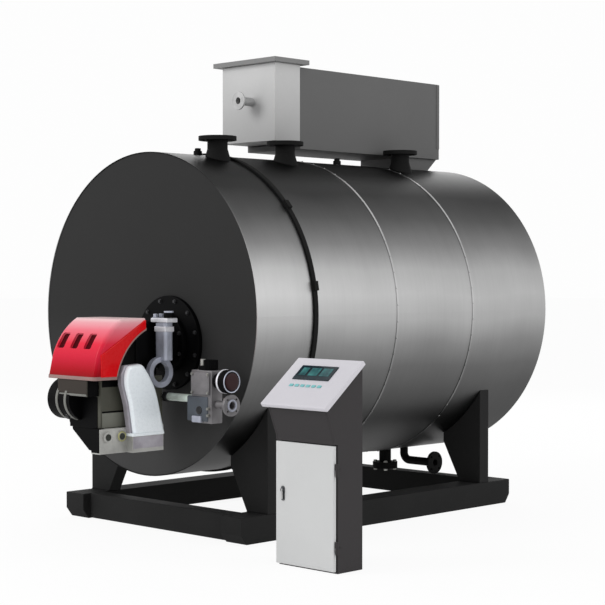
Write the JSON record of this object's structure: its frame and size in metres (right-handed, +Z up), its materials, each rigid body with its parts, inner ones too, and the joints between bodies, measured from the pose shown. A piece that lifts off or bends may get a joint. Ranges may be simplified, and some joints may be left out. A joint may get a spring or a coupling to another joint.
{
  "type": "horizontal fire-tube boiler",
  "caption": "Horizontal clad fire-tube boiler on a skid with gas burner, top economiser duct, flanged nozzles and a free-standing control console with a hinged door.",
  "frame": {"origin": "on the floor, under the middle of the whole plant's box", "axes": "+Z up, +Y along the shell from the burner end to the rear, +X towards the console's side"},
  "size_m": [3.032, 3.719, 3.166],
  "materials": {
    "cladding": "brushed stainless sheet, satin",
    "end_plate_grey": "dark grey heat-proof paint, satin",
    "seam_steel": "bright stainless strip",
    "black_paint": "black enamel, satin",
    "duct_grey": "mid grey paint, satin",
    "outlet_grey": "light grey paint, satin",
    "stub_steel": "bright steel",
    "burner_black": "black paint on castings",
    "casing_brown": "warm grey paint",
    "hood_red": "glossy red moulding",
    "cover_pale": "glossy pale blue-white moulding",
    "cast_aluminium": "sand-cast aluminium",
    "pipe_steel": "bright galvanised pipe",
    "valve_grey": "grey cast body",
    "console_dark": "dark warm grey powder coat",
    "door_grey": "pale grey powder coat",
    "desk_grey": "pale grey powder coat",
    "screen_glass": "dark teal glass",
    "key_teal": "teal membrane keys",
    "handle_steel": "dark plated latch"
  },
  "bodies": {
    "plant": {"shell_jacket": "cladding", "front_plate": "end_plate_grey", "rear_plate": "end_plate_grey", "front_strap": "black_paint", "middle_seam": "seam_steel", "rear_seam": "seam_steel", "skid_rail_right": "black_paint", "skid_rail_left": "black_paint", "skid_beam_front": "black_paint", "skid_beam_rear": "black_paint", "saddle_leg_front_right": "black_paint", "saddle_leg_front_left": "black_paint", "saddle_leg_rear_right": "black_paint", "saddle_leg_rear_left": "black_paint", "nozzle_front": "black_paint", "nozzle_middle": "black_paint", "nozzle_rear": "black_paint", "socket_front": "black_paint", "socket_rear": "black_paint", "drain_nozzle": "black_paint", "drain_cover": "black_paint", "blowdown_pipe": "black_paint", "flue_riser": "duct_grey", "economiser_duct": "duct_grey", "outlet_box": "outlet_grey", "stack_flange": "outlet_grey", "sight_port": "stub_steel", "burner_port_plate": "burner_black", "burner_flange": "burner_black", "burner_casing": "casing_brown", "air_intake": "burner_black", "burner_upper_body": "burner_black", "fan_scroll": "burner_black", "burner_hood": "hood_red", "control_box": "casing_brown", "cover_bracket": "burner_black", "side_cover": "cover_pale", "hinge_column": "cast_aluminium", "hinge_cap": "cast_aluminium", "gas_pipe": "pipe_steel", "gas_valve": "valve_grey", "valve_cap": "burner_black", "gas_pressure_switch": "valve_grey", "gas_inlet": "valve_grey", "console_side_left": "console_dark", "console_side_right": "console_dark", "console_back": "console_dark", "console_base": "console_dark", "console_front": "console_dark", "console_desk": "desk_grey", "console_screen": "screen_glass", "console_keys": "key_teal", "console_hinges": "console_dark"},
    "console_door": {"console_door": "door_grey", "console_door_handle": "handle_steel"}
  },
  "joints": [
    {"name": "console_door_hinge", "type": "hinge", "parent": "plant", "child": "console_door", "pos_m": [1.49805, -1.3105, 0], "axis": [0, 0, 1], "range_deg": [0, 110]}
  ]
}
